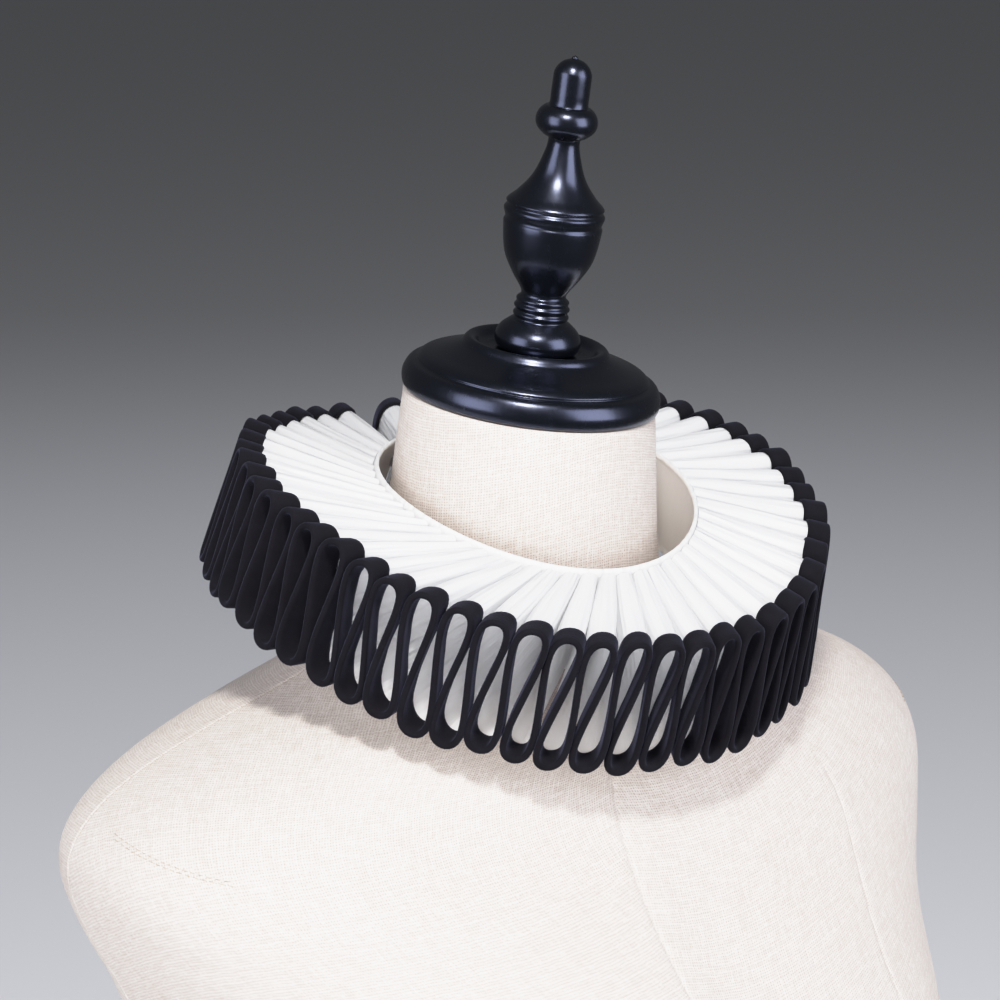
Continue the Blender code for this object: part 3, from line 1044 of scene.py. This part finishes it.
def cover_rings(columns, heights):
    """The cover's rings of points, up the form and then up the neck to just below the cap."""
    turns = [math.radians(turn) for turn in columns]
    rings = [[form_point(height, turn) for turn in turns] for height in heights]
    neck_foot = rings[-1]
    axis = neck_axis()
    neck_end = []
    for turn in turns:
        across = NECK_TOP_RADIUS * Vector((math.sin(turn), -math.cos(turn), 0.0))
        neck_end.append(axis @ (across - Vector((0.0, 0.0, CAP_LIP))))
    for i in range(1, NECK_STEPS_UP + 1):
        rings.append([foot.lerp(end, i / NECK_STEPS_UP) for foot, end in zip(neck_foot, neck_end)])
    return np.array(rings)


def lay_out_cover(mesh, flat, columns, body):
    """Lay each panel out from its own middle on its own grain, and the neck from the centre front.

    The cover is cut in panels below row body, and in one piece round the neck above it.
    """
    layer = mesh.uv_layers["cloth"]
    corners = np.zeros(len(mesh.loops) * 2, dtype=np.float32)
    layer.uv.foreach_get("vector", corners)
    corners = corners.reshape(len(flat) - 1, len(columns) - 1, 4, 2)
    corners[:, :, :, 1] -= flat[body, :, 1][corner_columns(len(columns))]
    for column in range(len(columns) - 1):
        between = (columns[column] + columns[column + 1]) / 2
        start, end, angle = next(panel for panel in PANELS if panel[0] <= between < panel[1])
        offset = flat[:, np.argmin(np.abs(columns - (start + end) / 2)), 0]
        grain = math.radians(angle)
        turned = np.array([[math.cos(grain), -math.sin(grain)], [math.sin(grain), math.cos(grain)]])
        corners[:body, column, :2, 0] -= offset[:body, None]
        corners[:body, column, 2:, 0] -= offset[1:body + 1, None]
        corners[:body, column] = corners[:body, column] @ turned.T.astype(np.float32)
    front = flat[:, np.argmin(np.abs(columns)), 0]
    corners[body:, :, :2, 0] -= front[body:-1, None, None]
    corners[body:, :, 2:, 0] -= front[body + 1:, None, None]
    layer.uv.foreach_set("vector", corners.ravel())


def make_form(material):
    """The padded form in its linen cover, sewn from panels and turned in at the foot and the top."""
    columns = form_columns()
    high = FORM_SECTIONS[-1][0] * MM
    heights = [high * (i / FORM_STEPS_UP) ** FORM_STEPS_CLOSER for i in range(FORM_STEPS_UP + 1)]
    points = cover_rings(columns, heights)
    inward = grid_normals(points)
    for row, ring in enumerate(points):
        for column, turn in enumerate(columns):
            x, y, height = ring[column]
            dip = seam_depth(turn, height / MM, math.hypot(x, y))
            ring[column] += inward[row, column] * dip
    # The hem: a shallow dip at its stitches, then the cover turns in under the foot.
    for ring, height in zip(points, heights):
        ring += inward[0] * HEM_DIP * math.exp(-((height - HEM_HEIGHT) / HEM_DIP_SPREAD) ** 2)
    foot = points[0]
    centre = foot.mean(axis=0)
    turned_in = np.array([
        centre + (foot - centre) * share + np.array([0.0, 0.0, rise * MM])
        for share, rise in FOOT_TURNED_IN
    ])
    foot[:, 2] = FOOT_EDGE_RISE
    top = points[-1]
    middle = top.mean(axis=0)
    closed = np.array([middle + (top - middle) * share for share in NECK_CLOSED])
    points = np.concatenate([turned_in, points, closed])
    flat = flat_cover(points, columns)
    mesh = grid_mesh("form_cover", points, flat)
    lay_out_cover(mesh, flat, columns, len(turned_in) + sum(height < PANELS_TOP for height in heights))
    form = show_piece("form_cover", mesh, material, "cream_linen", "form_body")
    return form


def form_skin(turn, height):
    """A point on the cover and the way out of it, from a turn in degrees and a height in mm."""
    around = math.radians(turn)
    here = form_point(height * MM, around)
    beside = form_point(height * MM, around + 0.004) - here
    above = form_point((height + 0.6) * MM, around) - here
    return here, beside.cross(above).normalized()


def make_stitches(material):
    """Hand stitches on the cover: at the shoulder darts, beside the side seams and round the hem."""
    paths = []
    for (turn_a, height_a), (turn_b, height_b), pitch in STITCH_ROWS:
        start, end = form_skin(turn_a, height_a)[0], form_skin(turn_b, height_b)[0]
        count = max(int((end - start).length / (pitch * MM)), 1)
        step_turn, step_height = (turn_b - turn_a) / count, (height_b - height_a) / count
        for i in range(count):
            turn, height = mix(turn_a, turn_b, i / count), mix(height_a, height_b, i / count)
            paths.append((turn, height, step_turn, step_height))
    for turn in np.arange(-180.0, 180.0, HEM_STITCH_STEP):
        paths.append((turn, HEM_HEIGHT / MM, HEM_STITCH_STEP, 0.0))
    faces = []
    vertices = []
    for turn, height, step_turn, step_height in paths:
        base = len(vertices)
        for share, rise, thick in STITCH_PROFILE:
            here, outward = form_skin(turn + step_turn * share, height + step_height * share)
            further = share + 0.1
            ahead = form_skin(turn + step_turn * further, height + step_height * further)[0] - here
            side = ahead.cross(outward).normalized()
            for i in range(STITCH_SIDES):
                around = 2 * math.pi * i / STITCH_SIDES
                off = side * math.cos(around) * thick + outward * (math.sin(around) * thick + rise)
                vertices.append(here + off * MM)
        for ring in range(len(STITCH_PROFILE) - 1):
            for i in range(STITCH_SIDES):
                a = base + ring * STITCH_SIDES + i
                b = base + ring * STITCH_SIDES + (i + 1) % STITCH_SIDES
                faces.append((a, b, b + STITCH_SIDES, a + STITCH_SIDES))
    mesh = bpy.data.meshes.new("cover_stitches")
    mesh.from_pydata([tuple(v) for v in vertices], [], faces)
    mesh.shade_smooth()
    return show_piece("cover_stitches", mesh, material, "cream_linen")


# The turned wood


def smooth_profile(profile, steps):
    """Points between a profile's own, on a curve through them."""
    points = [Vector(point) for point in profile]
    smooth = []
    for i in range(len(points) - 1):
        before = points[max(i - 1, 0)]
        after = points[min(i + 2, len(points) - 1)]
        a, b = points[i], points[i + 1]
        for j in range(steps):
            t = j / steps
            length = (b - a).length
            slope_a = (b - before).normalized() * length
            slope_b = (after - a).normalized() * length
            curve = (2 * t ** 3 - 3 * t ** 2 + 1) * a + (t ** 3 - 2 * t ** 2 + t) * slope_a
            curve += (3 * t ** 2 - 2 * t ** 3) * b + (t ** 3 - t ** 2) * slope_b
            smooth.append(curve)
    return smooth + [points[-1]]


def make_turned(name, profile, material, node, lift):
    """A piece turned on a lathe, from its profile about the neck's axis."""
    outline = smooth_profile(profile, WOOD_STEPS_ALONG)
    # Both ends are closed on the axis.
    outline = [Vector((outline[0].x, 0.0))] + outline + [Vector((outline[-1].x + 0.3, 0.0))]
    axis = neck_axis() @ Matrix.Translation((0, 0, lift))
    rings = []
    for along, radius in outline:
        ring = []
        for i in range(WOOD_STEPS_AROUND):
            turn = 2 * math.pi * i / WOOD_STEPS_AROUND
            x, y = radius * MM * math.cos(turn), radius * MM * math.sin(turn)
            ring.append(axis @ Vector((x, y, along * MM)))
        rings.append(ring)
    mesh = grid_mesh(name, np.array(rings), closed_around=True)
    return show_piece(name, mesh, material, "black_lacquered_wood", node)


# The studio


def add_floor():
    """A wide, flat, pale floor."""
    pale, output = start_material("pale_studio_floor")
    shader = add_node(
        pale, "ShaderNodeBsdfPrincipled", {"Base Color": linear("#d6d7da"), "Roughness": 0.8}
    )
    finish_material(pale, output, shader)
    mesh = bpy.data.meshes.new("studio_floor")
    corners = [(x * FLOOR_HALF, y * FLOOR_HALF, 0) for x, y in ((-1, -1), (1, -1), (1, 1), (-1, 1))]
    mesh.from_pydata(corners, [], [(0, 1, 2, 3)])
    mesh.materials.append(pale)
    floor = bpy.data.objects.new("studio_floor", mesh)
    bpy.context.scene.collection.objects.link(floor)
    # The lacquer mirrors the studio's dim air and not the floor, so it stays black as in the photo.
    floor.visible_glossy = False


def camera_axes():
    """The camera's right, up and back directions, from its azimuth and elevation."""
    ca, sa = math.cos(CAMERA_AZIMUTH), math.sin(CAMERA_AZIMUTH)
    ce, se = math.cos(CAMERA_ELEVATION), math.sin(CAMERA_ELEVATION)
    right = Vector((ca, sa, 0.0))
    up = Vector((-sa * se, ca * se, ce))
    back = Vector((sa * ce, -ca * ce, se))
    return right, up, back


def add_light(name, azimuth, elevation, distance, size, power, colour, seen_in_gloss=True):
    """A soft box that looks at the ruff. Azimuth runs to the right from the camera's, in degrees."""
    turn = CAMERA_AZIMUTH + math.radians(azimuth)
    rise = math.radians(elevation)
    away = Vector((math.sin(turn) * math.cos(rise), -math.cos(turn) * math.cos(rise), math.sin(rise)))
    place = RUFF_CENTRE + away * distance
    light = bpy.data.lights.new(name, "AREA")
    light.shape = "RECTANGLE"
    light.size, light.size_y = size
    light.energy = power
    light.color = linear(colour)[:3]
    thing = bpy.data.objects.new(name, light)
    bpy.context.scene.collection.objects.link(thing)
    thing.location = place
    thing.rotation_euler = (-away).to_track_quat("-Z", "Y").to_euler()
    thing.visible_camera = False
    thing.visible_glossy = seen_in_gloss


def add_studio():
    """The floor, the lights, the dim air and the way bright tones are shown."""
    add_floor()
    # Two tall boxes beside the camera show as the wood's long highlights, and a small lamp above it
    # throws the ruff's scalloped shadow. A low fill in front lights the cloth inside the loops, and
    # a box behind lights the far side.
    add_light("left_soft_box", -48, 15, 1.5, (0.9, 1.25), 16.5, "#f3f5ff")
    add_light("right_soft_box", 60, 15, 1.5, (1.0, 1.25), 21.0, "#f3f5ff")
    add_light("front_lamp", 4, 52, 1.2, (0.17, 0.17), 18.0, "#fffdfa")
    add_light("low_front_fill", -5, -2, 1.5, (1.2, 0.7), 20.0, "#fffdfa", seen_in_gloss=False)
    add_light("back_soft_box", 180, 42, 1.8, (2.2, 1.6), 8.0, "#f3f5ff", seen_in_gloss=False)
    world = bpy.data.worlds.new("studio_air")
    world.use_nodes = True
    background = world.node_tree.nodes["Background"]
    background.inputs["Color"].default_value = linear("#e8eaee")
    background.inputs["Strength"].default_value = AIR_STRENGTH
    bpy.context.scene.world = world
    view = bpy.context.scene.view_settings
    view.view_transform = "Standard"
    # Bright whites roll off softly instead of clipping.
    view.use_curve_mapping = True
    view.curve_mapping.white_level = (BRIGHTEST, BRIGHTEST, BRIGHTEST)
    roll_off = view.curve_mapping.curves[3].points
    roll_off[0].location = (0.0, 0.0)
    roll_off[1].location = (1.0, BRIGHTEST_SHOWN)
    for bright, shown in ROLL_OFF:
        roll_off.new(bright / BRIGHTEST, shown)
    view.curve_mapping.update()


def add_camera():
    """The camera at the photo's angle, looking at the ruff."""
    right, up, back = camera_axes()
    camera = bpy.data.cameras.new("photo_camera")
    camera.lens = CAMERA_LENS
    camera.sensor_width = 36.0
    camera.shift_x, camera.shift_y = CAMERA_SHIFT
    thing = bpy.data.objects.new("photo_camera", camera)
    bpy.context.scene.collection.objects.link(thing)
    turned = Matrix((right, up, back)).transposed().to_4x4()
    thing.matrix_world = Matrix.Translation(RUFF_CENTRE + back * CAMERA_DISTANCE) @ turned
    bpy.context.scene.camera = thing


cotton = white_cotton_sateen()
velvet = black_cotton_velvet()
lining = cream_cotton_lawn()
linen = cream_linen()
thread = linen_thread()
lacquer = black_lacquered_wood()
nickel = nickel_wire()

add_camera()
add_studio()
strip = FoldedStrip()
make_ruffle(cotton, strip)
make_velvet(velvet, strip)
make_neckband(cotton, lining)
make_form(linen)
make_stitches(thread)
make_turned("neck_cap_wood", CAP_PROFILE, lacquer, "neck_cap", WOOD_LIFT)
make_turned("finial_wood", FINIAL_PROFILE, lacquer, "finial", 2 * WOOD_LIFT)
for name in ("hook_lower", "hook_upper", "bar_lower", "bar_upper"):
    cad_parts[name].data.materials.clear()
    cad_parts[name].data.materials.append(nickel)
